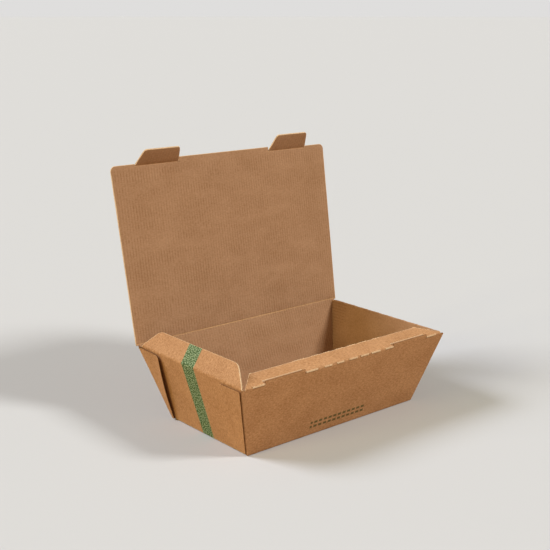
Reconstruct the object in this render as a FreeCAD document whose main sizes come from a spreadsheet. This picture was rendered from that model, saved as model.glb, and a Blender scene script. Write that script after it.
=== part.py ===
import FreeCAD
import Part
import math
import os

# A folded takeaway box of brown fluted board, standing open.
# Millimetres. X runs along the length, Y from front to rear, Z up.
# The origin is the middle of the flat underside.

doc = FreeCAD.newDocument("takeaway_box")

# Driving dimensions: name, value, what it is
DIMENSIONS = [
    ("board", 1.2, "thickness of the fluted board"),
    ("base_length", 160.4, "length of the flat base"),
    ("base_depth", 86.6, "front to rear size of the flat base"),
    ("rim_height", 56.0, "height of the front and end creases"),
    ("wall_flare", 16.2, "outward lean of the front and end walls, over the rim height"),
    ("rear_flare", 19.9, "outward lean of the rear wall, which the open lid pulls back"),
    ("lid_crease_rise", 0.6, "how far the lid crease stands above the other creases"),
    ("crease_gap", 0.4, "gap between two panels at their crease"),
    ("crease_edge", 0.1, "thickness that the board is crushed to at a crease"),
    ("web_foot", 0.8, "how far a folded corner web stands out at the base"),
    ("web_head", 1.5, "how far a folded corner web stands out at the rim"),
    ("web_toe", 1.8, "width of a corner web at the base"),
    ("web_width", 26.3, "width of a corner web at the rim, from the wall's corner"),
    ("web_drop", 2.4, "how far the top of a web lies below the rim"),
    ("web_corner", 3.0, "rounded corner of a web"),
    ("seam_foot", 0.4, "gap of a front corner seam at the base"),
    ("seam_head", 1.7, "gap of a front corner seam at the rim"),
    ("lip_start", 43.0, "start of a slot lip, from the middle"),
    ("lip_length", 35.0, "length of a slot lip"),
    ("lip_rise", 2.2, "how far a slot lip stands above the front crease"),
    ("slot_depth", 3.4, "width of the slot cut in the flange behind a lip"),
    ("flap_depth", 14.6, "depth of an end flap"),
    ("flap_front_start", 57.5, "front end of an end flap's crease, from the middle"),
    ("flap_rear_start", 60.0, "rear end of an end flap's crease, from the middle"),
    ("flap_front_mitre", 14.0, "how far an end flap narrows at its front end"),
    ("flap_rear_mitre", 13.0, "how far an end flap narrows at its rear end"),
    ("flap_corner", 2.5, "rounded corner of an end flap"),
    ("flange_depth", 14.5, "depth of the front flange"),
    ("flange_length", 189.2, "length of the front flange at its crease"),
    ("flange_mitre", 14.6, "how far the flange narrows at each end"),
    ("lid_root", 198.8, "width of the lid at its crease"),
    ("lid_tip", 205.0, "width of the lid at its front edge"),
    ("lid_length", 130.2, "length of the lid to its front corners"),
    ("lid_middle_length", 132.3, "length of the lid between the lock tabs"),
    ("lid_corner", 4.0, "rounded front corner of the lid"),
    ("tab_crease", 129.0, "distance of the lock tab creases from the lid crease"),
    ("tab_start", 43.7, "inner end of a lock tab, from the middle"),
    ("tab_root", 38.4, "width of a lock tab at its crease"),
    ("tab_tip", 30.8, "width of a lock tab at its end"),
    ("tab_depth", 15.0, "length of a lock tab"),
    ("tab_corner", 2.5, "rounded corner of a lock tab"),
    ("tab_side_gap", 0.3, "gap beside a lock tab at its root"),
    ("lid_angle", 99.6, "lid at rest, from level over the box"),
    ("lid_shut_angle", 3.0, "lid when shut on the flange"),
    ("lid_back_angle", 179.6, "lid when laid right back"),
    ("left_flap_angle", 56.0, "left end flap at rest, from level over the box"),
    ("right_flap_angle", 218.0, "right end flap at rest, folded outside"),
    ("flap_in_angle", -25.0, "end flap when folded in"),
    ("flap_out_angle", 222.0, "end flap when folded out and down on the webs"),
    ("flange_angle", 12.0, "front flange at rest, from level over the box"),
    ("flange_in_angle", -5.0, "front flange when folded in"),
    ("flange_out_angle", 245.0, "front flange when folded out and down"),
    ("left_tab_angle", 45.0, "left lock tab at rest, bent in from the lid"),
    ("right_tab_angle", 38.0, "right lock tab at rest, bent in from the lid"),
    ("tab_down_angle", 95.0, "lock tabs when bent right in"),
]

sheet = doc.addObject("Spreadsheet::Sheet", "Sizes")
for row, (name, value, note) in enumerate(DIMENSIONS, start=1):
    sheet.set("A%d" % row, note)
    sheet.set("B%d" % row, str(value))
    sheet.setAlias("B%d" % row, name)
doc.recompute()


def size(name):
    """A driving dimension as a number."""
    return float(getattr(sheet, name))


# Shared building blocks

WEDGE_ENDS = ("Xmin", "Xmax", "Zmin", "Zmax", "X2min", "X2max", "Z2min", "Z2max", "Ymin", "Ymax")


def wedge(name, near_x, near_z, far_x, far_z, along_y, placement=None):
    """A block that tapers along its own Y, each face a pair of expressions (low, high)."""
    block = doc.addObject("Part::Wedge", name)
    wanted = dict(zip(WEDGE_ENDS, near_x + near_z + far_x + far_z + along_y))
    for prop in WEDGE_ENDS:
        block.setExpression(prop, wanted[prop])
    if placement is not None:
        block.Placement = placement
    return block


def fuse(name, pieces):
    joined = doc.addObject("Part::MultiFuse", name)
    joined.Shapes = pieces
    joined.Refine = True
    return joined


def cut(name, base, tool):
    result = doc.addObject("Part::Cut", name)
    result.Base = base
    result.Tool = tool
    result.Refine = True
    return result


def common(name, first, second):
    result = doc.addObject("Part::Common", name)
    result.Base = first
    result.Tool = second
    return result


def rounded(name, source, wanted_edge, radius):
    """Round the edges of source that wanted_edge picks by their middle point and direction."""
    doc.recompute()
    chosen = []
    for number, edge in enumerate(source.Shape.Edges, start=1):
        if len(edge.Vertexes) == 2:
            start = edge.Vertexes[0].Point
            end = edge.Vertexes[1].Point
            if wanted_edge((start + end) * 0.5, (end - start).normalize()):
                chosen.append((number, radius, radius))
    result = doc.addObject("Part::Fillet", name)
    result.Base = source
    result.Edges = chosen
    return result


def hinge_frame(origin, along, outward):
    """Placement whose X runs along a crease and whose Y is the way the panel points."""
    x_axis = FreeCAD.Vector(*along)
    y_axis = FreeCAD.Vector(*outward)
    z_axis = x_axis.cross(y_axis)
    turn = FreeCAD.Rotation(x_axis, y_axis, z_axis, "XYZ")
    return FreeCAD.Placement(FreeCAD.Vector(*origin), turn)


def crease_run(fold_in, fold_out):
    """Expression for the length of the crushed bevel that lets a crease fold both ways."""
    return "Sizes.board / 2 * tan(max(%s; %s) / 2)" % (fold_in, fold_out)


HALF_BOARD = "Sizes.board / 2"
HALF_EDGE = "Sizes.crease_edge / 2"
HALF_GAP = "Sizes.crease_gap / 2"
THICK = ("-" + HALF_BOARD, HALF_BOARD)
THIN = ("-" + HALF_EDGE, HALF_EDGE)
THROUGH = ("-Sizes.board", "Sizes.board")

# How far each crease folds in and out from flat, in degrees
WALL_LEAN = "atan(Sizes.wall_flare / Sizes.rim_height)"
REAR_LEAN = "atan(Sizes.rear_flare / Sizes.rim_height)"
FLAP_RUN = crease_run("90 deg + %s - Sizes.flap_in_angle * 1 deg" % WALL_LEAN,
                      "Sizes.flap_out_angle * 1 deg - 90 deg - %s" % WALL_LEAN)
FLANGE_RUN = crease_run("90 deg + %s - Sizes.flange_in_angle * 1 deg" % WALL_LEAN,
                        "Sizes.flange_out_angle * 1 deg - 90 deg - %s" % WALL_LEAN)
LID_RUN = crease_run("90 deg + %s - Sizes.lid_shut_angle * 1 deg" % REAR_LEAN,
                     "Sizes.lid_back_angle * 1 deg - 90 deg - %s" % REAR_LEAN)
TAB_RUN = crease_run("Sizes.tab_down_angle * 1 deg", "0 deg")


def panel_at_crease(name, root, tip, depth, run):
    """A panel of board from its crushed crease to its far edge, in its own crease frame.

    root and tip are pairs of expressions for its two ends at the crease and at depth."""
    shoulder = "(%s + %s)" % (HALF_GAP, run)

    def across(end, distance):
        return "(%s) + ((%s) - (%s)) * (%s) / (%s)" % (root[end], tip[end], root[end], distance, depth)

    near = (across(0, HALF_GAP), across(1, HALF_GAP))
    middle = (across(0, shoulder), across(1, shoulder))
    bevel = wedge(name + "_crease", near, THIN, middle, THICK, (HALF_GAP, shoulder))
    sheet_part = wedge(name + "_board", middle, THICK, tip, THICK, (shoulder, depth))
    return fuse(name + "_panel", [bevel, sheet_part])


# Where the creases lie

def wall_lean(flare):
    return math.atan(flare / size("rim_height"))


def crease_offset(half_base, flare, height):
    """Distance from the middle of the box to the middle of a wall's board, at a height."""
    lean = wall_lean(flare)
    return half_base + flare * height / size("rim_height") - size("board") / 2 / math.cos(lean)


rim = size("rim_height")
lid_rim = rim + size("lid_crease_rise")
end_crease_x = crease_offset(size("base_length") / 2, size("wall_flare"), rim)
front_crease_y = -crease_offset(size("base_depth") / 2, size("wall_flare"), rim)
rear_crease_y = crease_offset(size("base_depth") / 2, size("rear_flare"), lid_rim)


def crease_place(wall, degrees):
    """Placement of a panel on the crease of a wall, at an angle from level over the box."""
    level = math.cos(math.radians(degrees))
    upward = math.sin(math.radians(degrees))
    if wall == "left":
        return hinge_frame((-end_crease_x, 0, rim), (0, 1, 0), (level, 0, upward))
    if wall == "right":
        return hinge_frame((end_crease_x, 0, rim), (0, -1, 0), (-level, 0, upward))
    if wall == "front":
        return hinge_frame((0, front_crease_y, rim), (-1, 0, 0), (0, level, upward))
    return hinge_frame((0, rear_crease_y, lid_rim), (1, 0, 0), (0, -level, upward))


wall_angle = 90 + math.degrees(wall_lean(size("wall_flare")))
rear_wall_angle = 90 + math.degrees(wall_lean(size("rear_flare")))

# Tray: base, four leaning walls and four folded corner webs, all one sheet

UPRIGHT = FreeCAD.Placement(FreeCAD.Vector(0, 0, 0), FreeCAD.Rotation(FreeCAD.Vector(1, 0, 0), 90))
TALL = "(Sizes.rim_height + Sizes.lid_crease_rise + Sizes.lip_rise + 2 * Sizes.board)"
HALF_LENGTH = "Sizes.base_length / 2"
HALF_DEPTH = "Sizes.base_depth / 2"
WALL_STEP = "Sizes.board / cos(%s)" % WALL_LEAN
REAR_STEP = "Sizes.board / cos(%s)" % REAR_LEAN


def lean_at(flare, height):
    return "Sizes.%s * %s / Sizes.rim_height" % (flare, height)


def trough(name, inset_ends, inset_front, inset_rear, low, high):
    """The box's form from one height to another, each wall moved in by an expression."""
    def face(height):
        reach = "%s + %s - %s" % (HALF_LENGTH, lean_at("wall_flare", height), inset_ends)
        front = "%s + %s - %s" % (HALF_DEPTH, lean_at("wall_flare", height), inset_front)
        rear = "%s + %s - %s" % (HALF_DEPTH, lean_at("rear_flare", height), inset_rear)
        return ("-(%s)" % reach, reach), ("-(%s)" % rear, front)
    low_x, low_y = face(low)
    high_x, high_y = face(high)
    return wedge(name, low_x, low_y, high_x, high_y, (low, high), UPRIGHT)


outside = trough("tray_outside", "0", "0", "0", "0", TALL)
inside = trough("tray_inside", WALL_STEP, WALL_STEP, REAR_STEP, "Sizes.board", TALL)
shell = cut("tray_shell", outside, inside)


def rim_trim(name, place, run):
    """Block that takes a wall's top off square, at the foot of its crushed crease."""
    reach = "Sizes.lid_tip / 2"
    foot = "-(%s + %s)" % (HALF_GAP, run)
    ends = ("-(%s)" % reach, reach)
    return wedge(name, ends, THROUGH, ends, THROUGH, (foot, "Sizes.rim_height"), place)


def rim_crease(name, place, run, low_end, high_end):
    """The top of a wall, crushed thin where its crease begins."""
    foot = "-(%s + %s)" % (HALF_GAP, run)
    return wedge(name, (low_end, high_end), THICK, (low_end, high_end), THIN,
                 (foot, "-" + HALF_GAP), place)


left_top = crease_place("left", wall_angle)
right_top = crease_place("right", wall_angle)
front_top = crease_place("front", wall_angle)
rear_top = crease_place("rear", rear_wall_angle)

trims = fuse("rim_trims", [rim_trim("trim_left", left_top, FLAP_RUN),
                           rim_trim("trim_right", right_top, FLAP_RUN),
                           rim_trim("trim_front", front_top, FLANGE_RUN),
                           rim_trim("trim_rear", rear_top, LID_RUN)])
trimmed = cut("tray_walls", shell, trims)

WALL_END = "%s + Sizes.wall_flare" % HALF_LENGTH
rims = [
    rim_crease("rim_left", left_top, FLAP_RUN, "-Sizes.flap_front_start", "Sizes.flap_rear_start"),
    rim_crease("rim_right", right_top, FLAP_RUN, "-Sizes.flap_rear_start", "Sizes.flap_front_start"),
    rim_crease("rim_front", front_top, FLANGE_RUN, "-(%s)" % WALL_END, WALL_END),
    rim_crease("rim_rear", rear_top, LID_RUN, "-(%s)" % WALL_END, WALL_END),
]

# Slot lips: the front wall stands up past its crease where the lock tabs go in
LIP_END = "(Sizes.lip_start + Sizes.lip_length)"
lips = []
for side, ends in (("left", ("Sizes.lip_start", LIP_END)), ("right", ("-" + LIP_END, "-Sizes.lip_start"))):
    lips.append(wedge("lip_" + side, ends, THICK, ends, THICK,
                      ("-(%s + %s)" % (HALF_GAP, FLANGE_RUN), "Sizes.lip_rise"), front_top))

# Corner webs: the spare board of each corner, folded double and pressed on the end wall
WEB_TOP = "(Sizes.rim_height - Sizes.web_drop)"


def web_reach(height):
    stand_out = "(Sizes.web_foot + (Sizes.web_head - Sizes.web_foot) * %s / Sizes.rim_height)" % height
    return "%s + %s + %s" % (HALF_LENGTH, lean_at("wall_flare", height), stand_out)


def web_block():
    """The box's form with both ends moved out to the faces of the webs."""
    def depths(height):
        front = "%s + %s" % (HALF_DEPTH, lean_at("wall_flare", height))
        rear = "%s + %s" % (HALF_DEPTH, lean_at("rear_flare", height))
        return "-(%s)" % rear, front
    low = web_reach("0")
    high = web_reach(WEB_TOP)
    return wedge("web_block", ("-(%s)" % low, low), depths("0"),
                 ("-(%s)" % high, high), depths(WEB_TOP), ("0", WEB_TOP), UPRIGHT)


def web_prism(end, flare):
    """Three-cornered block, across the whole box, that gives the two webs of one side."""
    reach = "Sizes.lid_tip / 2"
    low_in = "%s - Sizes.web_toe" % HALF_DEPTH
    high_in = "%s + Sizes.%s - Sizes.web_width" % (HALF_DEPTH, flare)
    far = "Sizes.lid_tip"
    if end == "front":
        low, high = (low_in, far), (high_in, far)
    else:
        low, high = ("-(%s)" % far, "-(%s)" % low_in), ("-(%s)" % far, "-(%s)" % high_in)
    prism = wedge("web_prism_" + end, ("-(%s)" % reach, reach), low,
                  ("-(%s)" % reach, reach), high, ("0", WEB_TOP), UPRIGHT)
    corner_y = size("base_depth") / 2 + size(flare) - size("web_width")

    def fold_corner(middle, direction):
        at_fold = abs(abs(middle.y) - corner_y) < 0.01
        return abs(direction.x) > 0.99 and at_fold and middle.z > rim / 2
    return rounded("web_form_" + end, prism, fold_corner, size("web_corner"))


web_forms = fuse("web_forms", [web_prism("front", "wall_flare"), web_prism("rear", "rear_flare")])
web_slab = cut("web_slab", web_block(), outside)
folded_webs = common("folded_webs", web_slab, web_forms)


def corner_seams():
    """Narrow gap behind the front wall's edge, wider towards the rim, at both front corners."""
    reach = "Sizes.lid_tip / 2"

    def gap(height, width):
        behind = "%s + %s - %s" % (HALF_DEPTH, lean_at("wall_flare", height), WALL_STEP)
        return "%s - Sizes.%s" % (behind, width), behind
    return wedge("corner_seams", ("-(%s)" % reach, reach), gap("0", "seam_foot"),
                 ("-(%s)" % reach, reach), gap("Sizes.rim_height", "seam_head"),
                 ("0", "Sizes.rim_height"), UPRIGHT)


webs = cut("corner_webs", folded_webs, corner_seams())
tray = fuse("tray", [trimmed, webs] + rims + lips)
tray.Label = "tray"

# End flaps: one on each end wall, mitred to pass the flange and the lid


def end_flap(label, ends_at_crease, ends_at_tip, place):
    blank = panel_at_crease(label, ends_at_crease, ends_at_tip, "Sizes.flap_depth", FLAP_RUN)

    def tip_corner(middle, direction):
        return abs(direction.z) > 0.99 and abs(middle.y - size("flap_depth")) < 0.01
    flap = rounded(label, blank, tip_corner, size("flap_corner"))
    flap.Label = label
    flap.Placement = place
    return flap


FRONT_TIP = "(Sizes.flap_front_start - Sizes.flap_front_mitre)"
REAR_TIP = "(Sizes.flap_rear_start - Sizes.flap_rear_mitre)"
left_flap = end_flap("end_flap_left", ("-Sizes.flap_front_start", "Sizes.flap_rear_start"),
                     ("-" + FRONT_TIP, REAR_TIP), crease_place("left", size("left_flap_angle")))
right_flap = end_flap("end_flap_right", ("-Sizes.flap_rear_start", "Sizes.flap_front_start"),
                      ("-" + REAR_TIP, FRONT_TIP), crease_place("right", size("right_flap_angle")))

# Front flange: turned in along the front wall, with a slot behind each lip

FLANGE_END = "Sizes.flange_length / 2"
FLANGE_TIP = "(Sizes.flange_length / 2 - Sizes.flange_mitre)"
flange_blank = panel_at_crease("front_flange", ("-" + FLANGE_END, FLANGE_END),
                               ("-" + FLANGE_TIP, FLANGE_TIP), "Sizes.flange_depth", FLANGE_RUN)
SLOT_NEAR = "(Sizes.lip_start - Sizes.tab_side_gap)"
SLOT_FAR = "(%s + Sizes.tab_side_gap)" % LIP_END
slots = []
for side, ends in (("left", (SLOT_NEAR, SLOT_FAR)), ("right", ("-" + SLOT_FAR, "-" + SLOT_NEAR))):
    slots.append(wedge("slot_" + side, ends, THROUGH, ends, THROUGH, ("0", "Sizes.slot_depth")))
flange = cut("front_flange", flange_blank, fuse("flange_slots", slots))
flange.Label = "front_flange"
flange.Placement = crease_place("front", size("flange_angle"))

# Lid: one panel on the rear wall's crease, with a notch in its front edge for each lock tab

lid_panel = panel_at_crease("lid", ("-Sizes.lid_root / 2", "Sizes.lid_root / 2"),
                            ("-Sizes.lid_tip / 2", "Sizes.lid_tip / 2"), "Sizes.lid_length", LID_RUN)


def lid_corner(middle, direction):
    return abs(direction.z) > 0.99 and abs(middle.y - size("lid_length")) < 0.01


lid_rounded = rounded("lid_rounded", lid_panel, lid_corner, size("lid_corner"))
NOTCH_NEAR = "(Sizes.tab_start - Sizes.tab_side_gap)"
NOTCH_FAR = "(Sizes.tab_start + Sizes.tab_root + Sizes.tab_side_gap)"
NOTCH_FOOT = "(Sizes.tab_crease - %s - %s)" % (HALF_GAP, TAB_RUN)
middle_ends = ("-" + NOTCH_NEAR, NOTCH_NEAR)
lid_middle = wedge("lid_middle", middle_ends, THICK, middle_ends, THICK,
                   (NOTCH_FOOT, "Sizes.lid_middle_length"))
notches = []
notch_creases = []
for side, ends in (("right", (NOTCH_NEAR, NOTCH_FAR)), ("left", ("-" + NOTCH_FAR, "-" + NOTCH_NEAR))):
    notches.append(wedge("notch_" + side, ends, THROUGH, ends, THROUGH,
                         (NOTCH_FOOT, "Sizes.lid_middle_length + Sizes.board")))
    notch_creases.append(wedge("notch_crease_" + side, ends, THICK, ends, THIN,
                               (NOTCH_FOOT, "Sizes.tab_crease - %s" % HALF_GAP)))
lid_notched = cut("lid_notched", fuse("lid_sheet", [lid_rounded, lid_middle]), fuse("notches", notches))
lid = fuse("lid", [lid_notched] + notch_creases)
lid.Label = "lid"
lid.Placement = crease_place("rear", size("lid_angle"))

# Lock tabs: two tapered tongues on the lid's front edge


def lock_tab(label, low_end, high_end, degrees):
    taper = "(Sizes.tab_root - Sizes.tab_tip) / 2"
    blank = panel_at_crease(label, (low_end, high_end),
                            ("%s + %s" % (low_end, taper), "%s - %s" % (high_end, taper)),
                            "Sizes.tab_depth", TAB_RUN)

    def tip_corner(middle, direction):
        return abs(direction.z) > 0.99 and abs(middle.y - size("tab_depth")) < 0.01
    tab = rounded(label, blank, tip_corner, size("tab_corner"))
    tab.Label = label
    bend = FreeCAD.Placement(FreeCAD.Vector(0, size("tab_crease"), 0),
                             FreeCAD.Rotation(FreeCAD.Vector(1, 0, 0), degrees))
    tab.Placement = lid.Placement.multiply(bend)
    return tab


TAB_FAR = "(Sizes.tab_start + Sizes.tab_root)"
right_tab = lock_tab("lock_tab_right", "Sizes.tab_start", TAB_FAR, size("right_tab_angle"))
left_tab = lock_tab("lock_tab_left", "-" + TAB_FAR, "-Sizes.tab_start", size("left_tab_angle"))

# Check every object, then write one file for each part

doc.recompute()
parts = [tray, lid, left_tab, right_tab, left_flap, right_flap, flange]
for item in doc.Objects:
    if "Invalid" in item.State or "Error" in item.State:
        raise RuntimeError("%s failed: %s" % (item.Name, item.State))
for item in parts:
    if item.Shape.isNull() or not item.Shape.isValid() or len(item.Shape.Solids) != 1:
        raise RuntimeError("%s isn't one valid solid" % item.Label)
os.makedirs("parts", exist_ok=True)
for item in parts:
    item.Shape.exportStep("parts/%s.step" % item.Label)
    print("%-16s %9.1f mm3" % (item.Label, item.Shape.Volume))
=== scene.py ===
"""A takeaway box folded from one blank of brown fluted board, standing open.

The lid stands a little past upright with its two lock tabs bent in, the left end flap stands
half folded and the right one hangs outside. Lengths are millimetres unless they say otherwise.
"""

import math

import bpy
import numpy as np
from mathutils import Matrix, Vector


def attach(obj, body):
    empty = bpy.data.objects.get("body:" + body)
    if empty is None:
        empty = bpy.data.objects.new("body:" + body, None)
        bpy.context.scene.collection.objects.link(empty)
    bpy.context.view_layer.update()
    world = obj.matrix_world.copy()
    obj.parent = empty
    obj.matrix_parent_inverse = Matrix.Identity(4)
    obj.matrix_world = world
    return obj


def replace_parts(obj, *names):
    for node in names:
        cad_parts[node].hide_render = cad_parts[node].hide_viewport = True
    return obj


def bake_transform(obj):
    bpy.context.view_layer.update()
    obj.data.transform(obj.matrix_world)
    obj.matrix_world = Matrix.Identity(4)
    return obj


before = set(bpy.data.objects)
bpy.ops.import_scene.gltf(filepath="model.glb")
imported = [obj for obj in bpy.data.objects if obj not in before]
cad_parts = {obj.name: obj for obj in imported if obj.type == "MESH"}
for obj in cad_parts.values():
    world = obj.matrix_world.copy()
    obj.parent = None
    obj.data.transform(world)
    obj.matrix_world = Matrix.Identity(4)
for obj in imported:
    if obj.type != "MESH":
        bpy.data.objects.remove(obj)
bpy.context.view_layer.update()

# Tray base
# The flat bottom that the four walls fold up from. The whole box is F-flute kraft board:
# two brown paper liners glued to a fluted sheet whose waves run from front to rear.
# It is die cut, so its cut edges are pressed thinner and show pale raw fibres.

BOARD, LINER, MEDIUM, PITCH = 1.2, 0.2, 0.16, 2.4
INSIDE_WAVE, OUTSIDE_WAVE = 0.022, 0.008     # how far the flutes show through each liner
GRID = 0.3                                  # spacing of a mesh's lines across the flutes
# At a cut: the share of the thickness pressed away, how far in that reaches, and how far in
# the fibres are raw
EDGE_PRESS, EDGE_WIDTH, EDGE_RAW = 0.2, 0.45, 0.36
PULP_WIDTH = 0.3                            # how far a cut squashes the fluted sheet full
UV_UNIT = 100.0                             # millimetres of blank to one unit of UV
SHARP = 38.0                                # degrees past which an edge of a mesh is sharp
BASE_X, BASE_Y, RIM, FLARE, REAR_FLARE, LID_RIM = 80.2, 43.3, 56.0, 16.2, 19.9, 56.6
LEAN, REAR_LEAN = math.atan(FLARE / RIM), math.atan(REAR_FLARE / RIM)
END_CREASE = BASE_X + FLARE - BOARD / 2 / math.cos(LEAN)
FRONT_CREASE = BASE_Y + FLARE - BOARD / 2 / math.cos(LEAN)
REAR_CREASE = BASE_Y + REAR_FLARE * LID_RIM / RIM - BOARD / 2 / math.cos(REAR_LEAN)
END_HEIGHT = (RIM - BOARD / 2) / math.cos(LEAN)
REAR_HEIGHT = (LID_RIM - BOARD / 2) / math.cos(REAR_LEAN)
END_FOOT = END_CREASE - END_HEIGHT * math.sin(LEAN)
FRONT_FOOT = FRONT_CREASE - END_HEIGHT * math.sin(LEAN)
REAR_FOOT = REAR_CREASE - REAR_HEIGHT * math.sin(REAR_LEAN)
REACH, FOOT_REACH = 0.9, 0.7                # length of board bent each side of a crease

# Patterns of the paper: length along u and v of the blank, then detail
PULP = {"clouds": (24.0, 18.0, 4.0), "fibres": (2.6, 0.75, 3.0), "crossing": (0.9, 2.3, 2.0),
        "flecks": (1.4, 0.5, 2.0), "tooth": (0.24, 0.24, 2.0), "shade_patches": (40.0, 9.0, 2.0)}
CLOUDS, FIBRES, CROSSING = 0.6, 0.95, 0.55  # how far each pattern moves the tone
NOISE_ROUGH, GRAIN_ROUGH = 0.6, 0.07        # of the patterns, and how far fibres vary the gloss
GRAIN_FIBRES, GRAIN_STRENGTH, GRAIN_HEIGHT = 1.2, 0.35, 0.00008    # relief of the surface, metres
PAPER_SHINE = 0.3                           # specular level of uncoated paper
PATTERNS_APART = (3.1, 1.7)                 # shift between patterns, so that none line up
# Flecks: colour, the noise at which one starts and is full, and its strength
FLECKS = (("#6b4425", 0.30, 0.22, 0.4), ("#dfba8c", 0.72, 0.80, 0.35))
FLUTE_SHADE_SPAN = (43.0, 229.0, 2.0)              # v from rear wall to lid tip, where painted shade lines over the flutes show
FLUTE_SHADE_LINE = (0.1, -1.0)                    # cosine of a flute where its painted shade line starts and is full
FLUTE_SHADE_PATCHES = (0.28, 0.62)                       # noise at which the painted shade lines fade out in patches and are full
BAND_FRONT, BAND_REAR, BAND_END = -6.8, 3.6, -72.0    # edges of the green band, which widens
BAND_FRONT_SLANT, BAND_REAR_SLANT = 0.019, 0.048      # from the base to the flap's tip
BAND_SOFT, BAND_END_SOFT, BAND_STRENGTH = 0.08, 0.2, 0.9
BAND_INK, BAND_SPECK, MARK_INK = "#22592a", "#b4cba2", "#3c451a"
SPECKS, SPECK_RANDOM = 78.0, 0.9            # specks to one unit of UV, so one in 1.3 mm
SPECK_EDGE = (0.42, 0.18, 0.75)             # distance where one starts and is full, strength
# Dashes: the length of one step, the part of it that is inked, and where the run starts and
# ends along the wall, the last two with their softness; then the middle of each row
MARK_STEP, MARK_DASH, MARK_RUN = 4.6, (0.1, 0.8, 0.06), (-26.0, 27.0, 0.1)
MARK_ROWS, MARK_HALF, MARK_SOFT, MARK_STRENGTH = (-53.3, -49.7), 0.95, 0.12, 0.8
NEAREST = 0.3                               # share of a step within which a mark replaces a line


def linear(code):
    """Linear colour of an sRGB hex code."""
    values = [int(code[place:place + 2], 16) / 255 for place in (1, 3, 5)]
    return tuple(v / 12.92 if v <= 0.04045 else ((v + 0.055) / 1.055) ** 2.4 for v in values) + (1.0,)


def add(tree, kind, inputs, output=0, **settings):
    """Add a node, set or link its inputs, and give one of its outputs."""
    made = tree.nodes.new("ShaderNode" + kind)
    for name, value in settings.items():
        setattr(made, name, value)
    for place, value in inputs.items():
        if isinstance(value, bpy.types.NodeSocket):
            tree.links.new(value, made.inputs[place])
        else:
            made.inputs[place].default_value = value
    return made.outputs[output]


def stripe(tree, value, low, high, soft):
    """1 where value lies from low to high, falling to 0 over soft at each end."""
    rise = add(tree, "MapRange", {0: value, 1: low - soft, 2: low + soft})
    fall = add(tree, "MapRange", {0: value, 1: high + soft, 2: high - soft})
    return add(tree, "Math", {0: rise, 1: fall}, operation="MULTIPLY")


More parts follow.
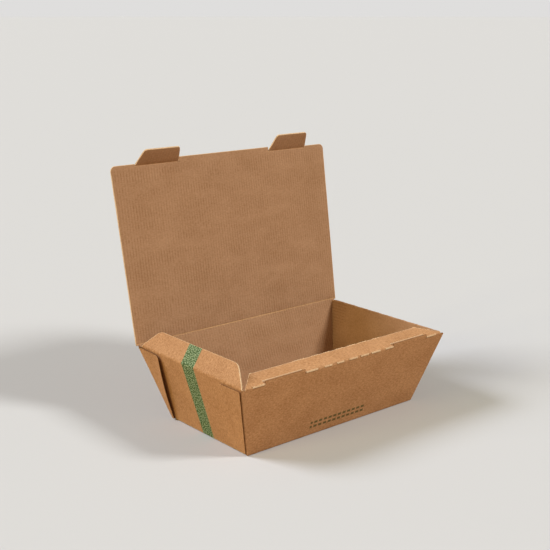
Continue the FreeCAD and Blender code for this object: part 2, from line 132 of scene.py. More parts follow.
def kraft(name, pale, dark, roughness, coarse=1.0, flute_shade=0.0, printed=False):
    """Unbleached paper, coloured from its place on the flat blank so that it runs over folds.

    Tone is clouds of pulp, long fibres across the flutes and short ones along them, less a
    painted shade line over each flute, as if light raked across it. It runs from dark to pale
    brown. Flecks and the print lie over it.
    """
    material = bpy.data.materials.new(name)
    material.use_nodes = True
    tree = material.node_tree
    uv = add(tree, "UVMap", {}, uv_map="blank")
    u = add(tree, "SeparateXYZ", {0: uv})
    v = add(tree, "SeparateXYZ", {0: uv}, output=1)
    u = add(tree, "Math", {0: u, 1: UV_UNIT}, operation="MULTIPLY")
    v = add(tree, "Math", {0: v, 1: UV_UNIT}, operation="MULTIPLY")
    pulp = {}
    for seed, (pattern, (long_u, long_v, detail)) in enumerate(PULP.items()):
        place = add(tree, "Mapping", {"Vector": uv, "Scale": (UV_UNIT / long_u, UV_UNIT / long_v, 1.0),
                                      "Location": (PATTERNS_APART[0] * seed,
                                                   PATTERNS_APART[1] * seed, 0.0)})
        pulp[pattern] = add(tree, "TexNoise", {"Vector": place, "Scale": 1.0, "Detail": detail,
                                               "Roughness": NOISE_ROUGH}, noise_dimensions="2D")
    level = 0.5 - (CLOUDS + (FIBRES + CROSSING) * coarse) / 2
    tone = add(tree, "Math", {0: pulp["clouds"], 1: CLOUDS, 2: level}, operation="MULTIPLY_ADD")
    for pattern, strength in (("fibres", FIBRES), ("crossing", CROSSING)):
        tone = add(tree, "Math", {0: pulp[pattern], 1: strength * coarse, 2: tone},
                   operation="MULTIPLY_ADD")
    # Painted shade: a darker line over each flute, from the rear wall to the lid's tip only and in
    # patches, where light rakes across the flutes
    if flute_shade:
        turns = add(tree, "Math", {0: u, 1: 2 * math.pi / PITCH}, operation="MULTIPLY")
        wave = add(tree, "Math", {0: turns}, operation="COSINE")
        line = add(tree, "MapRange", {0: wave, 1: FLUTE_SHADE_LINE[0], 2: FLUTE_SHADE_LINE[1]},
                   interpolation_type="SMOOTHSTEP")
        patchy = add(tree, "MapRange", {0: pulp["shade_patches"], 1: FLUTE_SHADE_PATCHES[0], 2: FLUTE_SHADE_PATCHES[1]})
        shown = add(tree, "Math", {0: stripe(tree, v, *FLUTE_SHADE_SPAN), 1: patchy}, operation="MULTIPLY")
        line = add(tree, "Math", {0: line, 1: shown}, operation="MULTIPLY")
        tone = add(tree, "Math", {0: line, 1: -flute_shade, 2: tone}, operation="MULTIPLY_ADD")
    paper = add(tree, "Mix", {0: tone, 6: linear(dark), 7: linear(pale)}, output=2, data_type="RGBA")
    for ink, low, high, strength in FLECKS:
        fleck = add(tree, "MapRange", {0: pulp["flecks"], 1: low, 2: high, 4: strength})
        paper = add(tree, "Mix", {0: fleck, 6: paper, 7: linear(ink)}, output=2, data_type="RGBA")
    if printed:
        # The band stops a little way under the base. It is green with small pale specks.
        front = add(tree, "Math", {0: u, 1: BAND_FRONT_SLANT, 2: v}, operation="MULTIPLY_ADD")
        rear = add(tree, "Math", {0: u, 1: BAND_REAR_SLANT, 2: v}, operation="MULTIPLY_ADD")
        band = add(tree, "MapRange", {0: front, 1: BAND_FRONT - BAND_SOFT, 2: BAND_FRONT + BAND_SOFT})
        rear = add(tree, "MapRange", {0: rear, 1: BAND_REAR + BAND_SOFT, 2: BAND_REAR - BAND_SOFT})
        band = add(tree, "Math", {0: band, 1: rear}, operation="MULTIPLY")
        side = add(tree, "MapRange", {0: u, 1: BAND_END + BAND_END_SOFT, 2: BAND_END})
        cells = add(tree, "TexVoronoi", {"Vector": uv, "Scale": SPECKS, "Randomness": SPECK_RANDOM},
                    voronoi_dimensions="2D")
        speck = add(tree, "MapRange", {0: cells, 1: SPECK_EDGE[0], 2: SPECK_EDGE[1], 4: SPECK_EDGE[2]})
        green = add(tree, "Mix", {0: speck, 6: linear(BAND_INK), 7: linear(BAND_SPECK)}, output=2,
                    data_type="RGBA")
        ink = add(tree, "Math", {0: band, 1: BAND_STRENGTH}, operation="MULTIPLY")
        ink = add(tree, "Math", {0: ink, 1: side}, operation="MULTIPLY")
        paper = add(tree, "Mix", {0: ink, 6: paper, 7: green}, output=2, data_type="RGBA")
        # Two plain rows of dashes low on the front wall
        step = add(tree, "Math", {0: u, 1: 1 / MARK_STEP}, operation="MULTIPLY")
        dash = stripe(tree, add(tree, "Math", {0: step}, operation="FRACT"), *MARK_DASH)
        dash = add(tree, "Math", {0: dash, 1: stripe(tree, u, *MARK_RUN)}, operation="MULTIPLY")
        for row in MARK_ROWS:
            mark = stripe(tree, v, row - MARK_HALF, row + MARK_HALF, MARK_SOFT)
            mark = add(tree, "Math", {0: dash, 1: mark}, operation="MULTIPLY")
            mark = add(tree, "Math", {0: mark, 1: MARK_STRENGTH}, operation="MULTIPLY")
            paper = add(tree, "Mix", {0: mark, 6: paper, 7: linear(MARK_INK)}, output=2,
                        data_type="RGBA")
    height = add(tree, "Math", {0: pulp["fibres"], 1: GRAIN_FIBRES, 2: pulp["tooth"]},
                 operation="MULTIPLY_ADD")
    bump = add(tree, "Bump", {"Strength": GRAIN_STRENGTH, "Distance": GRAIN_HEIGHT, "Height": height})
    rough = add(tree, "MapRange", {0: pulp["fibres"], 3: roughness - GRAIN_ROUGH,
                                   4: roughness + GRAIN_ROUGH})
    shader = tree.nodes["Principled BSDF"]
    tree.links.new(paper, shader.inputs["Base Color"])
    tree.links.new(rough, shader.inputs["Roughness"])
    tree.links.new(bump, shader.inputs["Normal"])
    shader.inputs["Specular IOR Level"].default_value = PAPER_SHINE
    return material


# Machine-glazed outer liner: smooth, a little glossy at a low angle, takes the print
OUTER = kraft("kraft_outer_liner", "#d09f72", "#9e6e42", 0.72, coarse=1.5, printed=True)
# Rough inner liner: duller and greyer, with painted shade lines over the flutes
INNER = kraft("kraft_inner_liner", "#c29977", "#9d7552", 0.88, flute_shade=0.34)
# Raw cut edge: pale torn fibres, quite matt
CUT = kraft("raw_cut_edge", "#fbe0bb", "#e2bd92", 0.93, coarse=1.3)
# Fluting paper: thin, darker, hidden between the liners. On the cut sides of the front and rear walls
# and on the corner webs' edges it is painted shade, for the dark seams.
FLUTING_AND_SHADE = kraft("fluting_paper_and_painted_shade", "#9c7146", "#70492a", 0.93)
# Pressed crease: the liner is stretched and rubbed paler. Along the outside of each end wall's foot the
# same pale colour is a painted highlight.
PRESSED_AND_HIGHLIGHT = kraft("pressed_crease_and_painted_highlight", "#d2a97d", "#b38a5d", 0.85, printed=True)
FINISHES = [OUTER, INNER, CUT, FLUTING_AND_SHADE, PRESSED_AND_HIGHLIGHT]
OUT, IN, RAW, FLUTE_AND_SHADE, FOLD_AND_HIGHLIGHT = range(5)


class Board:
    """Gathers closed sheets of one piece of board and makes one mesh of them."""

    def __init__(self, name):
        self.name, self.count = name, 0
        self.corners, self.faces, self.blank, self.finish = [], [], [], []

    def sheet(self, upper, lower, blank, finishes, pressed=None, torn=None):
        """Close two (n, m, 3) grids into one sheet with four strips round their edges.

        finishes are of the upper face, the lower face and the edges. pressed gives the face that a
        crease hollows, or that takes a painted highlight at a wall's foot, and marks the lines in
        it, and torn marks the points beside a cut.
        """
        n, m = upper.shape[:2]
        index = np.arange(n * m).reshape(n, m)
        above, below = index + self.count, index + self.count + n * m

        def squares(grid):
            """Numbers of the four corners of each square of a grid."""
            return np.stack([grid[:-1, :-1], grid[1:, :-1], grid[1:, 1:], grid[:-1, 1:]], -1)

        kinds = [np.full((n - 1, m - 1), finishes[0]), np.full((n - 1, m - 1), finishes[1])]
        if pressed is not None:
            face, lines = pressed
            kinds[face][:, lines[:-1] & lines[1:]] = FOLD_AND_HIGHLIGHT
        if torn is not None:
            for kind in kinds:
                kind[torn[:-1, :-1] & torn[1:, :-1] & torn[1:, 1:] & torn[:-1, 1:]] = RAW
        edges = [
            np.stack([below[:-1, 0], below[1:, 0], above[1:, 0], above[:-1, 0]], -1),
            np.stack([below[1:, -1], below[:-1, -1], above[:-1, -1], above[1:, -1]], -1),
            np.stack([below[0, 1:], below[0, :-1], above[0, :-1], above[0, 1:]], -1),
            np.stack([below[-1, :-1], below[-1, 1:], above[-1, 1:], above[-1, :-1]], -1),
        ]
        self.faces += [squares(above).reshape(-1, 4), squares(below)[..., ::-1].reshape(-1, 4)] + edges
        self.finish += [kind.ravel() for kind in kinds]
        self.finish += [np.full(len(edge), finishes[2]) for edge in edges]
        self.corners += [upper.reshape(-1, 3), lower.reshape(-1, 3)]
        self.blank += [blank.reshape(-1, 2)] * 2
        self.count += 2 * n * m

    def make(self):
        """Make one object of the sheets, in metres, with its place on the blank as its UV map."""
        faces = np.concatenate(self.faces)
        mesh = bpy.data.meshes.new(self.name)
        mesh.from_pydata((np.concatenate(self.corners) / 1000).tolist(), [], faces.tolist())
        for material in FINISHES:
            mesh.materials.append(material)
        mesh.polygons.foreach_set("material_index", np.concatenate(self.finish).astype(np.int32))
        layer = mesh.uv_layers.new(name="blank")
        layer.data.foreach_set("uv", (np.concatenate(self.blank)[faces.ravel()] / UV_UNIT).ravel())
        mesh.polygons.foreach_set("use_smooth", np.ones(len(faces), bool))
        mesh.set_sharp_from_angle(angle=math.radians(SHARP))
        mesh.validate()
        made = bpy.data.objects.new(self.name, mesh)
        bpy.context.scene.collection.objects.link(made)
        return made


def lines_at(low, high, marks=(), step=GRID):
    """Whole multiples of the step from low to high, with the marks among them."""
    marks = [low, high] + [mark for mark in marks if low < mark < high]
    steps = np.arange(math.ceil(low / step), math.floor(high / step) + 1) * step
    kept = [value for value in steps if all(abs(value - mark) > step * NEAREST for mark in marks)]
    return np.array(sorted(set(marks) | set(kept)))


def columns(a, low, high, rows):
    """Grid of lines along s: low and high end each column, which the rows divide alike."""
    low, high = np.broadcast_to(low, a.shape), np.broadcast_to(high, a.shape)
    share = (np.array(rows) - rows[0]) / (rows[-1] - rows[0])
    return np.repeat(a[:, None], len(rows), 1), low[:, None] + (high - low)[:, None] * share[None, :]


def rows_along(s, low, high, shares):
    """Grid of lines along a: low and high end each row, which the shares divide alike."""
    shares = np.asarray(shares)
    low, high = np.broadcast_to(low, s.shape), np.broadcast_to(high, s.shape)
    return low[None, :] + (high - low)[None, :] * shares[:, None], np.repeat(s[None, :], len(shares), 0)


def plain_board(piece, a, s, place, blank, finishes=(IN, OUT, RAW), pressed=None):
    """Board whose edges are hidden: half its thickness each way, rippled by the flutes."""
    sheet = blank(a, s)
    wave = np.cos(2 * np.pi * sheet[..., 0] / PITCH)
    inner, outer = BOARD / 2 + INSIDE_WAVE * wave, -BOARD / 2 + OUTSIDE_WAVE * wave
    piece.sheet(place(a, s, inner), place(a, s, outer), sheet, finishes, pressed)


def flat(a, s, h):
    """Place on the base: a along the box, s to the rear, h up from the middle of the board."""
    return np.stack(np.broadcast_arrays(a, s, BOARD / 2 + h), -1)


def flat_blank(a, s):
    """Place of the base on the flat blank, which is the same as in the box."""
    return np.stack([a, s], -1)


tray = Board("tray_board")
floor_lines = lines_at(-(END_FOOT - FOOT_REACH), END_FOOT - FOOT_REACH)
plain_board(tray, *columns(floor_lines, -(FRONT_FOOT - FOOT_REACH), REAR_FOOT - FOOT_REACH, range(7)),
            flat, flat_blank)

# Tray walls
# Four leaning walls fold up off the base. The front wall ends at a crease that is cut through
# in dashes, and two lips stand up out of it that the lock tabs tuck behind.

SIDES = {    # middle of the crease at the rim, along it, outward, lean and height of the wall
    "left": ((-END_CREASE, 0, RIM), (0, 1, 0), (-1, 0, 0), LEAN, END_HEIGHT),
    "right": ((END_CREASE, 0, RIM), (0, -1, 0), (1, 0, 0), LEAN, END_HEIGHT),
    "front": ((0, -FRONT_CREASE, RIM), (-1, 0, 0), (0, -1, 0), LEAN, END_HEIGHT),
    "rear": ((0, REAR_CREASE, LID_RIM), (1, 0, 0), (0, 1, 0), REAR_LEAN, REAR_HEIGHT),
}
FEET = {"left": END_FOOT, "right": END_FOOT, "front": FRONT_FOOT, "rear": REAR_FOOT}
LIP_NEAR, LIP_FAR, LIP_RISE = 43.0, 78.0, 2.2
FRONT_TOP_HALF, FRONT_LOW_HALF = 97.6, 80.9
REAR_TOP_HALF, REAR_LOW_HALF = 97.4, 80.6
# A crease is rubbed pale, crushed and frayed this far each side
FOLD_WIDTH, CRUSH_WIDTH, FRAY_WIDTH = 0.5, 0.5, 0.35
# Share of the thickness crushed on the hollow side and the round side, and how far both wander
CRUSH_HOLLOW, CRUSH_ROUND, CRUSH_WANDER = 0.5, 0.12, 0.08
WANDER_WAVES, TUFT_WAVES = (0.46, 1.13, 0.21), (3.7, 1.3)    # radians to a millimetre
NO_CUT = 99.0          # distance that stands for no cut at all
FOOT_HALF = BASE_X - 0.4           # half the length of the fold at a wall's foot
SHORTEST = 0.4         # shortest line of a wall's mesh
CLEAR = 0.02           # kept between faces of two parts that would lie in one plane
FOOT_HIGHLIGHT = (0.2, 1.3)           # where the outside of an end wall's foot has a painted highlight
FOOT_ROWS = [-FOOT_REACH, -0.35, 0, 0.35, FOOT_REACH]
WALL_ROWS = [15, 35, 50]


def bend(origin, along, before, after, reach):
    """Place for board that comes along before and turns into after at origin.

    Within reach of the crease its middle is a parabola between the two directions, and h
    lies square to it, towards the inside of the box.
    """
    origin, along, before, after = (np.array(v, float) for v in (origin, along, before, after))

    def place(a, s, h):
        t = np.clip((s + reach) / (2 * reach), 0, 1)[..., None]
        middle = t ** 2 * reach * after - (1 - t) ** 2 * reach * before
        middle = middle + np.minimum(s + reach, 0)[..., None] * before
        middle = middle + np.maximum(s - reach, 0)[..., None] * after
        way = (1 - t) * before + t * after
        way = way / np.linalg.norm(way, axis=-1, keepdims=True)
        off = np.asarray(h)[..., None] * np.cross(along, way)
        return origin + np.asarray(a)[..., None] * along + middle + off
    return place


def way_up(side, degrees):
    """Direction of a panel that stands at an angle from level over the box."""
    outward, up = np.array(SIDES[side][2], float), np.array([0, 0, 1.0])
    return -math.cos(math.radians(degrees)) * outward + math.sin(math.radians(degrees)) * up


def wall_way(side):
    """Direction up a wall, which leans out past square."""
    return way_up(side, 90 + math.degrees(SIDES[side][3]))


def up_wall(side):
    """Place on a wall: a along its foot, s up from it, around the fold from the base."""
    origin, along, outward, _, height = SIDES[side]
    foot = np.array(origin, float) - height * wall_way(side)
    return bend(foot, along, outward, wall_way(side), FOOT_REACH)


def blank_of(side, start=0.0):
    """Place on the flat blank of a point a along and s out from a line start above the foot."""
    def blank(a, s):
        out = FEET[side] + start + s
        pairs = {"left": (-out, a), "right": (out, -a), "front": (-a, -out), "rear": (a, out)}[side]
        return np.stack(np.broadcast_arrays(*pairs), -1)
    return blank


def open_board(piece, a, s, place, blank, cuts, crease=None, hollow="in", squash=0.55,
               medium_from=None, edge=RAW, fray=0.0, side_gap=None, wander=CRUSH_WANDER):
    """Board with open edges: two liners with the fluted sheet between them.

    Its thickness falls by a bell curve towards each cut and towards the crease, more so on the
    fold's hollow side, and there it wanders by slow sines. The fluted sheet swings from liner
    to liner as a cosine of u, and thickens at a cut by the squash share of the space that is
    left. Fray hangs the outer liner down at a torn cut by a product of sines. side_gap is the
    distance to a slanted cut.
    """
    sheet = blank(a, s)
    wave = np.cos(2 * np.pi * sheet[..., 0] / PITCH)
    gaps = {"a0": np.abs(a - a[:1]), "a1": np.abs(a[-1:] - a),
            "s0": np.abs(s - s[:, :1]), "s1": np.abs(s[:, -1:] - s)}
    away = np.minimum.reduce([gaps[cut] for cut in cuts]) if cuts else np.full(a.shape, NO_CUT)
    if side_gap is not None:
        away = np.clip(np.minimum(away, side_gap), 0, None)
    press = 1 - EDGE_PRESS * np.exp(-(away / EDGE_WIDTH) ** 2)
    lines, bell = None, np.zeros(a.shape)
    if crease is not None:
        longest = s[np.argmax(s[:, -1] - s[:, 0])]
        lines = np.abs(longest - crease) < FOLD_WIDTH
        bell = np.exp(-((s - crease) / CRUSH_WIDTH) ** 2)
    slow, quick, swell = WANDER_WAVES
    sway = np.sin(a * slow) + np.sin(a * quick + 1.0) * np.sin(a * swell + 0.4)
    worn = wander * sway * bell
    dent = {"in": (CRUSH_HOLLOW, CRUSH_ROUND), "out": (CRUSH_ROUND, CRUSH_HOLLOW)}[hollow]
    inner = BOARD / 2 * press * (1 - dent[0] * bell) + INSIDE_WAVE * wave * (1 - bell) + worn
    outer = -BOARD / 2 * press * (1 - dent[1] * bell) + OUTSIDE_WAVE * wave * (1 - bell) + worn
    tuft = (1 + np.sin(a * TUFT_WAVES[0]) * np.sin(a * TUFT_WAVES[1] + 1.0)) / 2
    outer = outer - fray * tuft * np.exp(-(away / FRAY_WIDTH) ** 2)
    on_inside = (0, lines) if lines is not None and hollow == "in" else None
    on_outside = (1, lines) if lines is not None and hollow == "out" else None
    torn = away < EDGE_RAW if edge == RAW else None
    piece.sheet(place(a, s, inner), place(a, s, inner - LINER), sheet, (IN, FLUTE_AND_SHADE, edge),
                on_inside, torn)
    piece.sheet(place(a, s, outer + LINER), place(a, s, outer), sheet, (FLUTE_AND_SHADE, OUT, edge),
                on_outside, torn)
    if medium_from is not None:
        start = int(np.argmax(s >= medium_from, axis=1).max())
        grids = (a, s, sheet, wave, inner, outer, away)
        a, s, sheet, wave, inner, outer, away = (grid[:, start:] for grid in grids)
    swing = np.maximum((inner - outer) / 2 - LINER - MEDIUM / 2, 0) * wave
    pulp = squash * np.exp(-(away / PULP_WIDTH) ** 2)
    middle = (inner + outer) / 2 + swing
    upper = (middle + MEDIUM / 2) * (1 - pulp) + (inner - LINER) * pulp
    lower = (middle - MEDIUM / 2) * (1 - pulp) + (outer + LINER) * pulp
    piece.sheet(place(a, s, upper), place(a, s, lower), sheet, (FLUTE_AND_SHADE, FLUTE_AND_SHADE, edge))


def wall_low(a, low_half, top_half, height):
    """Lower end of a column: the foot's fold, or past the base's corner the wall's slanted side."""
    share = (np.abs(a) - low_half) / (top_half - low_half)
    return np.where(np.abs(a) <= FOOT_HALF, -FOOT_REACH, np.clip(share, 0.0, 1) * height)


def front_wall(low, high, top):
    """One stretch of the front wall; top is how far its lip rises past the crease, or None."""
    a = lines_at(low, high, marks=(-FOOT_HALF, FOOT_HALF))
    foot = wall_low(a, FRONT_LOW_HALF, FRONT_TOP_HALF, END_HEIGHT - REACH - SHORTEST)
    rows = FOOT_ROWS + WALL_ROWS + [END_HEIGHT - REACH]
    # The wall's sides take the dark fluting colour as painted shade in the seam at each corner
    plain_board(tray, *columns(a, foot, END_HEIGHT - REACH, rows), up_wall("front"),
                blank_of("front"), (IN, OUT, FLUTE_AND_SHADE))
    if top is not None:
        front_lip(low, high, top)


def front_lip(low, high, top):
    """A lip's top, which the die has squashed shut and rubbed dark."""
    shares = [0, 0.25, 0.5, 0.75, 0.9, 1]
    a, s = columns(lines_at(low, high), END_HEIGHT - REACH, END_HEIGHT + top, shares)
    open_board(tray, a, s, up_wall("front"), blank_of("front"), ("s1", "a0", "a1"), squash=1.0,
               edge=FLUTE_AND_SHADE)


stretches = [-FRONT_TOP_HALF, -LIP_FAR, -LIP_NEAR, LIP_NEAR, LIP_FAR, FRONT_TOP_HALF]
for low, high, top in zip(stretches, stretches[1:], [None, LIP_RISE, None, LIP_RISE, None]):
    front_wall(low, high, top)

a = lines_at(-REAR_TOP_HALF, REAR_TOP_HALF, marks=(-FOOT_HALF, FOOT_HALF))
foot = wall_low(a, REAR_LOW_HALF, REAR_TOP_HALF, REAR_HEIGHT - REACH - SHORTEST)
rows = FOOT_ROWS + WALL_ROWS + [REAR_HEIGHT - REACH]
# The wall's sides take the dark fluting colour as painted shade in the seam at each corner
plain_board(tray, *columns(a, foot, REAR_HEIGHT - REACH, rows), up_wall("rear"), blank_of("rear"),
            (IN, OUT, FLUTE_AND_SHADE))


def height_at(side, s):
    """Height over the table of a place s up a wall."""
    return np.clip(BOARD / 2 + s * math.cos(SIDES[side][3]), 0, None)


def lean_out(flare, z):
    """How far out a wall with this flare stands at a height, in proportion to it."""
    return flare * z / RIM


for side in ("left", "right"):
    s = lines_at(-FOOT_REACH, END_HEIGHT - REACH, marks=FOOT_ROWS[1:-1])
    z = height_at(side, s)
    front_in = -(BASE_Y + lean_out(FLARE, z) - BOARD / math.cos(LEAN)) + CLEAR
    rear_in = BASE_Y + lean_out(REAR_FLARE, z) - BOARD / math.cos(REAR_LEAN) - CLEAR
    ends = (front_in, rear_in) if side == "left" else (-rear_in, -front_in)
    # The outside of each end wall's foot gets a painted highlight: the pale crease colour along the
    # fold
    plain_board(tray, *rows_along(s, *ends, np.linspace(0, 1, 12)), up_wall(side), blank_of(side),
                pressed=(1, (s > FOOT_HIGHLIGHT[0]) & (s < FOOT_HIGHLIGHT[1])))

# Corner webs
# The spare board of each corner, folded double on the outside of the end wall. Its free
# edge is a fold with a rounded top corner; the rear left one has sprung well off the wall.

LEAF, WEB_FOOT, WEB_TOE, WEB_WIDTH, WEB_CORNER = 0.62, 1.2, 1.8, 26.3, 3.0
# The rounding of a web's folded edge: its width, its depth, and the inside's share of that
WEB_ROUND, WEB_OUT, WEB_IN = 0.35, 0.26, 0.8
SEAM_FOOT, SEAM_HEAD = 0.4, 1.7
# How far in from its fold a web's lift dies away, its share at foot and rim, and what is
# added to that half way up
LIFT_FADE, LIFT_ENDS, LIFT_MIDDLE = 7.0, 0.55, 0.75
WEB_BLANK = 400.0      # where a web's paper is taken from the blank, clear of the print
WEB_SHARES = np.array([0, 0.012, 0.03, 0.06, 0.12, 0.25, 0.5, 0.75, 0.93, 0.97, 1.0])
WEBS = {    # top, how far its outside stands off the wall at foot and rim, and the free edge's lift
    ("left", "rear"): (55.0, 0.75, 1.4, 1.7),
    ("left", "front"): (54.3, 0.75, 1.35, 0.1),
    ("right", "rear"): (53.6, 0.7, 1.35, 0.0),
    ("right", "front"): (53.6, 0.7, 1.35, 0.0),
}


def corner_web(side, end, top, stand_foot, stand_rim, lift):
    """A leaf from the wall's corner to the slanted fold that is its free edge.

    It stands off the wall by a straight line from foot to rim, plus lift times an
    exponential from the fold, strongest half way up; its top corner is a quarter circle.
    """
    height = (top - BOARD / 2) / math.cos(LEAN)
    curve = WEB_CORNER * np.sin(np.linspace(0.1, math.pi / 2, 9))
    s = np.concatenate([np.linspace(WEB_FOOT, height - WEB_CORNER, 26), height - WEB_CORNER + curve])
    z = height_at(side, s)
    flare = FLARE if end == "front" else REAR_FLARE
    over = np.clip((s - (height - WEB_CORNER)) / WEB_CORNER, 0, 1)
    fold = BASE_Y - WEB_TOE + (flare - WEB_WIDTH + WEB_TOE) * z / top
    fold = fold + WEB_CORNER * (1 - np.sqrt(np.clip(1 - over ** 2, 0, 1)))
    corner = BASE_Y + lean_out(flare, z)
    if end == "front":
        corner = corner - BOARD / math.cos(LEAN) - SEAM_FOOT - (SEAM_HEAD - SEAM_FOOT) * z / RIM
    y = fold[None, :] + (corner - fold)[None, :] * WEB_SHARES[:, None]
    from_fold = y - fold[None, :]
    s_grid = np.repeat(s[None, :], len(WEB_SHARES), 0)
    rise = s_grid / height
    bow = LIFT_ENDS + LIFT_MIDDLE * np.sin(math.pi * np.clip(rise, 0, 1))
    bow = lift * np.exp(-from_fold / LIFT_FADE) * bow
    stand = stand_foot + (stand_rim - stand_foot) * rise + bow
    rounding = WEB_OUT * np.exp(-(from_fold / WEB_ROUND) ** 2)
    outer = -(BOARD / 2 + stand - rounding)
    inner = -(BOARD / 2 + np.maximum(stand - LEAF + WEB_IN * rounding, CLEAR))
    a = y if (side == "left") == (end == "rear") else -y
    if a[0, 0] > a[-1, 0]:
        a, s_grid, outer, inner = a[::-1], s_grid[::-1], outer[::-1], inner[::-1]
    place, blank = up_wall(side), blank_of(side, WEB_BLANK)
    # The web's edges take the dark fluting colour as painted shade, for the dark line under the flap's
    # crease
    tray.sheet(place(a, s_grid, inner), place(a, s_grid, outer), blank(a, s_grid), (IN, OUT, FLUTE_AND_SHADE))


for (side, end), (top, stand_foot, stand_rim, lift) in WEBS.items():
    corner_web(side, end, top, stand_foot, stand_rim, lift)
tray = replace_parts(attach(tray.make(), "tray"), "tray")

# End flaps
# One on each end wall, mitred, with rounded corners. Their flutes run along the crease.
# The left one stands half folded over the box, the right one is folded down outside.

FLAP_FRONT, FLAP_REAR, FRONT_MITRE, REAR_MITRE = 57.5, 60.0, 14.0, 13.0
FLAP_DEPTH, FLAP_CORNER, FLAP_ARC = 14.6, 3.0, 1.3    # the last draws the corner's arc out
FLAP_ANGLES = {"left": (56.0, 0.4), "right": (218.0, REACH)}     # angle, and reach of the bend
CREASE_DRIFT, CREASE_FADE, FLAP_WANDER = 0.7, 0.95, 0.18
DRIFT_WAVES = ((0.6, 1.15, 0.0), (0.4, 2.9, 1.0))    # share, radians to a millimetre, phase
FLAP_SHARES = [0.0012, 0.003, 0.006, 0.994, 0.997, 0.9988]       # lines close to the cut ends
FLAP_SHARES = np.sort(np.concatenate([np.linspace(0, 1, 181), FLAP_SHARES]))
FOLD_ROWS = [-0.5, -0.25, 0, 0.25, 0.5]              # lines along a crease that bends


def over_crease(side, degrees, reach=REACH):
    """Place on a panel that folds off the rim of a wall: s out from the crease."""
    return bend(SIDES[side][0], SIDES[side][1], wall_way(side), way_up(side, degrees), reach)


def wavering(place):
    """The same place with its crease drifting along s.

    The drift is a sum of sines, which fade out into the panel by a bell curve and to nothing
    where the wall begins.
    """
    def drifted(a, s, h):
        drift = sum(share * np.sin(a * wave + phase) for share, wave, phase in DRIFT_WAVES)
        fade = np.exp(-(s / CREASE_FADE) ** 2) * np.clip(1 + s / REACH, 0, 1)
        return place(a, s + CREASE_DRIFT * drift * fade, h)
    return drifted


def blend_at(piece):
    """Bake the piece's transform into its mesh."""
    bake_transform(piece)


for side, (degrees, reach) in FLAP_ANGLES.items():
    flap = Board("end_flap_%s_board" % side)
    s = lines_at(-REACH, FLAP_DEPTH, marks=(*FOLD_ROWS, FLAP_DEPTH - 0.12, FLAP_DEPTH - 0.04))
    out = np.clip(s, 0, None) / FLAP_DEPTH
    into = np.clip(s - (FLAP_DEPTH - FLAP_CORNER), 0, FLAP_CORNER)
    rounding = FLAP_ARC * (FLAP_CORNER - np.sqrt(np.clip(FLAP_CORNER ** 2 - into ** 2, 0, None)))
    ends = (-FLAP_FRONT + FRONT_MITRE * out + rounding, FLAP_REAR - REAR_MITRE * out - rounding)
    if side == "right":
        ends = (-ends[1], -ends[0])
    open_board(flap, *rows_along(s, *ends, FLAP_SHARES), wavering(over_crease(side, degrees, reach)),
               blank_of(side, END_HEIGHT), ("a0", "a1", "s1"), crease=0.0, wander=FLAP_WANDER,
               hollow="in" if side == "left" else "out")
    flap = flap.make()
    blend_at(flap)
    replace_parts(flap, "end_flap_" + side)

# Front flange
# It turns in along the front wall. Where its crease is cut through, its pale torn edge lies
# over the wall's top and stands a little proud of it; a slot lies behind each lip.

FLANGE_HALF, FLANGE_MITRE, FLANGE_DEPTH, SLOT, FLANGE_ANGLE = 94.6, 14.6, 14.5, 3.4, 12.0
ROOT = -0.75           # a cut root starts this far out past the crease
# The dashes that are cut through the crease between the slots, from left to right
CUTS = [(-42.2, -31.5), (-25.0, -18.3), (-13.2, -7.0), (-1.6, 6.2), (9.6, 17.4), (20.6, 29.2),
        (34.8, 43.0)]
CUT_FAR = 88.6         # outer end of the cut beyond each slot
FRAY = 0.55            # how far the torn fibres of a cut root hang down at most
SLOT_SIDE = 0.3        # clearance of a slot past its lip
SHORT = 0.1            # shortest strip and shortest line of one
CUT_ROWS, FREE_ROWS = [0, 0.12, 0.3, 0.6], [5, 10, 13.9, 14.2, 14.5]
flange = Board("front_flange_board")
flange_way = way_up("front", FLANGE_ANGLE)
flange_blank = blank_of("front", END_HEIGHT)


def flange_strip(low, high, start):
    """One strip of the flange, whose ends are mitred by a straight line.

    start is where its root is cut, or None where it stays folded to the wall.
    """
    a = lines_at(low, high, marks=(-FLANGE_HALF + FLANGE_MITRE, FLANGE_HALF - FLANGE_MITRE))
    end = np.minimum(FLANGE_DEPTH, (FLANGE_HALF - np.abs(a)) / FLANGE_MITRE * FLANGE_DEPTH)
    if start is None:
        rows = [-REACH, *FOLD_ROWS, REACH] + FREE_ROWS
        a, s = columns(a, -REACH, np.maximum(end, -REACH + SHORT), rows)
        open_board(flange, a, s, over_crease("front", FLANGE_ANGLE), flange_blank, ("s1",), crease=0.0,
                   medium_from=REACH - 0.01)
    else:
        a, s = columns(a, start, np.maximum(end, start + SHORT), CUT_ROWS + FREE_ROWS)
        straight = bend(SIDES["front"][0], SIDES["front"][1], flange_way, flange_way, REACH)
        open_board(flange, a, s, straight, flange_blank, ("s0", "s1"), squash=0.95,
                   fray=FRAY if start == ROOT else 0.0)


cuts = [(-high, -low) for low, high in reversed(CUTS)]
strips = [(-FLANGE_HALF, -CUT_FAR, None), (-CUT_FAR, -LIP_FAR - SLOT_SIDE, ROOT),
          (-LIP_FAR - SLOT_SIDE, -LIP_NEAR + SLOT_SIDE, SLOT)]
last = -LIP_NEAR + SLOT_SIDE
for low, high in cuts:
    strips += [(last, low, None), (max(low, last), high, ROOT)]
    last = high
strips += [(last, LIP_NEAR - SLOT_SIDE, None), (LIP_NEAR - SLOT_SIDE, LIP_FAR + SLOT_SIDE, SLOT),
           (LIP_FAR + SLOT_SIDE, CUT_FAR, ROOT), (CUT_FAR, FLANGE_HALF, None)]
for low, high, start in strips:
    if high - low > SHORT:
        flange_strip(low, high, start)
flange = flange.make()
blend_at(flange)
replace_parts(flange, "front_flange")

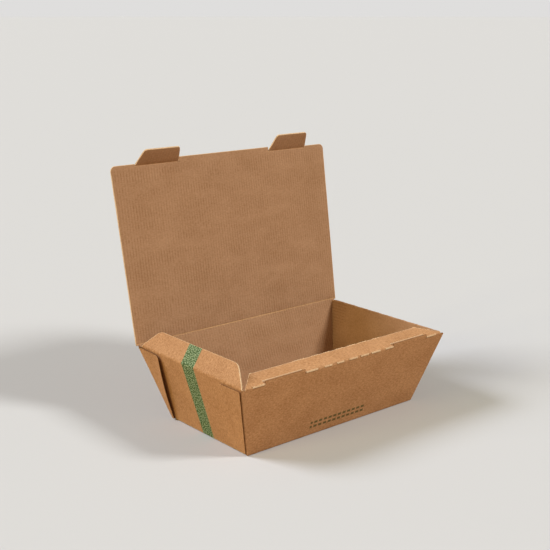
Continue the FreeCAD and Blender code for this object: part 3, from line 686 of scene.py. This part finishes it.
# Lid
# One large panel on the rear wall's crease, its sides spreading a little to its front edge.
# That edge has a notch for each lock tab and stands a little proud between them.

LID_ROOT, LID_TIP, LID_CORNER, LID_ANGLE = 99.4, 102.5, 4.0, 99.6
LID_LENGTH, LID_MIDDLE = 130.2, 132.3  # to the front corners, and between the lock tabs
LID_EDGE = 102.34      # last line before the side, where a column is still long enough
CORNER_START = LID_TIP - 0.12 - LID_CORNER     # where the rounded front corner begins
LID_ROWS = [-REACH, *FOLD_ROWS, REACH, 7, 40, 80, 115, 129.3, 129.6, 129.9, 130.2]
TAB_CREASE, NOTCH_NEAR, NOTCH_FAR, TAB_REACH = 129.0, 43.4, 82.4, 0.8
lid = Board("lid_board")
lid_middle, lid_way = np.array(SIDES["rear"][0]), way_up("rear", LID_ANGLE)
lid_blank = blank_of("rear", REAR_HEIGHT)


def lid_strip(low, high, end, front_cut=True, side_cut=False):
    """One strip of the lid from crease to end, less the slanted side and the corner's arc."""
    a = lines_at(low, high, marks=(-LID_ROOT, LID_ROOT, -LID_ROOT + SHORT, LID_ROOT - SHORT))
    side = (np.abs(a) - LID_ROOT) / (LID_TIP - LID_ROOT) * LID_LENGTH
    start = np.where(np.abs(a) < LID_ROOT, -REACH, np.maximum(side, 0))
    into = np.clip(np.abs(a) - CORNER_START, 0, LID_CORNER)
    stop = end - (LID_CORNER - np.sqrt(LID_CORNER ** 2 - into ** 2))
    a, s = columns(a, start, stop, LID_ROWS)
    side_gap = LID_ROOT + (LID_TIP - LID_ROOT) * s / LID_LENGTH - np.abs(a) if side_cut else None
    open_board(lid, a, s, over_crease("rear", LID_ANGLE), lid_blank, ("s1",) if front_cut else (),
               crease=0.0, medium_from=REACH - 0.01, side_gap=side_gap)


lid_strip(-LID_EDGE, -NOTCH_FAR, LID_LENGTH, side_cut=True)
lid_strip(-NOTCH_FAR, -NOTCH_NEAR, TAB_CREASE - TAB_REACH, front_cut=False)
lid_strip(-NOTCH_NEAR, NOTCH_NEAR, LID_MIDDLE)
lid_strip(NOTCH_NEAR, NOTCH_FAR, TAB_CREASE - TAB_REACH, front_cut=False)
lid_strip(NOTCH_FAR, LID_EDGE, LID_LENGTH, side_cut=True)
lid = lid.make()
blend_at(lid)
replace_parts(lid, "lid")

# Lock tabs
# Two tapered tongues on creases in the lid's front edge, with rounded ends. They are bent in,
# the left one a little further.

TAB_START, TAB_ROOT, TAB_TIP, TAB_DEPTH, TAB_CORNER = 43.7, 38.4, 30.8, 15.0, 2.6
TAB_TAPER = (TAB_ROOT - TAB_TIP) / 2
TAB_ARC = TAB_TAPER - 0.4              # how far in from a tab's side its rounded corner starts
TAB_SHORTEST = 0.5                     # shortest line of a tab's mesh
TAB_ROWS = [-TAB_REACH, *FOLD_ROWS, TAB_REACH, 5, 10, 14.4, 14.7, 15]
tab_middle = lid_middle + TAB_CREASE * lid_way
lid_inward = np.cross(SIDES["rear"][1], lid_way)

for side, low, degrees in (("left", -TAB_START - TAB_ROOT, 45.0), ("right", TAB_START, 38.0)):
    tab = Board("lock_tab_%s_board" % side)
    turn = math.radians(degrees)
    tab_way = math.cos(turn) * lid_way + math.sin(turn) * lid_inward
    a = lines_at(low, low + TAB_ROOT, marks=(low + 0.05, low + TAB_ROOT - 0.05))
    edge = np.minimum(a - low, low + TAB_ROOT - a)
    arc = TAB_CORNER - np.clip(edge - TAB_ARC, 0, TAB_CORNER)
    rounded = TAB_DEPTH - TAB_CORNER + np.sqrt(np.clip(TAB_CORNER ** 2 - arc ** 2, 0, None))
    end = np.minimum(edge / TAB_TAPER * TAB_DEPTH, rounded)
    a, s = columns(a, -TAB_REACH, np.maximum(end, -TAB_REACH + TAB_SHORTEST), TAB_ROWS)
    side_gap = np.minimum(a - low, low + TAB_ROOT - a) - np.clip(s, 0, None) * TAB_TAPER / TAB_DEPTH
    open_board(tab, a, s, bend(tab_middle, SIDES["rear"][1], lid_way, tab_way, TAB_REACH),
               blank_of("rear", REAR_HEIGHT + TAB_CREASE), ("s1",), crease=0.0,
               medium_from=TAB_REACH - 0.01, side_gap=side_gap)
    tab = tab.make()
    blend_at(tab)
    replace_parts(tab, "lock_tab_" + side)

# Studio
# A plain pale floor that runs to the horizon, four far lamps and a dim warm room. The camera
# looks a little down on the box, from beyond its front left corner.

PALE = (0.60, 0.61, 0.62)        # the floor's colour as the camera sees it
BOUNCE = (0.34, 0.22, 0.10)      # and as it lights the box: weaker and warm
ROOM_SEEN = (0.738, 0.730, 0.722)      # the room as the camera sees it, level with the floor
ROOM_LIGHT = (0.28, 0.235, 0.17)       # and as it lights the box


def seen_ray(tree):
    """1 for a ray of the camera or of a reflection or transparent piece, 0 for diffuse light."""
    camera_ray = add(tree, "LightPath", {}, output="Is Camera Ray")
    glossy_ray = add(tree, "LightPath", {}, output="Is Glossy Ray")
    through_ray = add(tree, "LightPath", {}, output="Is Transmission Ray")
    mirrored = add(tree, "Math", {0: glossy_ray, 1: through_ray}, operation="MAXIMUM")
    return add(tree, "Math", {0: camera_ray, 1: mirrored}, operation="MAXIMUM")


floor_material = bpy.data.materials.new("matt_studio_floor")
floor_material.use_nodes = True
tree = floor_material.node_tree
shade = add(tree, "Mix", {0: seen_ray(tree), 6: (*BOUNCE, 1.0), 7: (*PALE, 1.0)}, output=2,
            data_type="RGBA")
tree.links.new(shade, tree.nodes["Principled BSDF"].inputs["Base Color"])
tree.nodes["Principled BSDF"].inputs["Roughness"].default_value = 0.9
tree.nodes["Principled BSDF"].inputs["Specular IOR Level"].default_value = 0.1
bpy.ops.mesh.primitive_circle_add(vertices=96, radius=60.0, fill_type="TRIFAN", location=(0, 0, 0))
floor = bpy.context.object
floor.name = "studio_floor"
floor.data.materials.append(floor_material)

world = bpy.data.worlds.new("studio")
world.use_nodes = True
tree = world.node_tree
room = add(tree, "Mix", {0: seen_ray(tree), 6: (*ROOM_LIGHT, 1.0), 7: (*ROOM_SEEN, 1.0)}, output=2,
           data_type="RGBA")
tree.links.new(room, tree.nodes["Background"].inputs[0])
bpy.context.scene.world = world


def far_lamp(name, towards, level, spread, tint):
    """A far lamp; at level 1 it lights a face square to it so that a colour renders as written."""
    light = bpy.data.lights.new(name, "SUN")
    light.energy = level * math.pi
    light.angle = math.radians(spread)
    light.color = tint
    holder = bpy.data.objects.new(name, light)
    holder.rotation_euler = Vector(towards).to_track_quat("Z", "Y").to_euler()
    bpy.context.scene.collection.objects.link(holder)


far_lamp("key", (0.44, -0.66, 0.60), 0.65, 14.0, (1.0, 0.99, 0.96))
far_lamp("rear_side", (-0.56, 0.50, 0.66), 0.70, 24.0, (0.97, 1.0, 1.11))
far_lamp("low_side", (-0.94, 0.04, 0.32), 0.30, 20.0, (0.98, 0.86, 0.42))
far_lamp("low_front", (0.80, -0.60, 0.06), 0.07, 30.0, (1.0, 1.0, 1.0))

camera = bpy.data.cameras.new("camera")
camera.lens, camera.sensor_width = 67.18, 36.0
camera.clip_start, camera.clip_end = 0.05, 200.0
camera_object = bpy.data.objects.new("camera", camera)
camera_object.location = (-0.47987, -0.54732, 0.29196)
camera_object.rotation_euler = (math.radians(75.6), 0.0, math.radians(-40.044))
bpy.context.scene.collection.objects.link(camera_object)
bpy.context.scene.camera = camera_object
bpy.context.scene.view_settings.view_transform = "Standard"
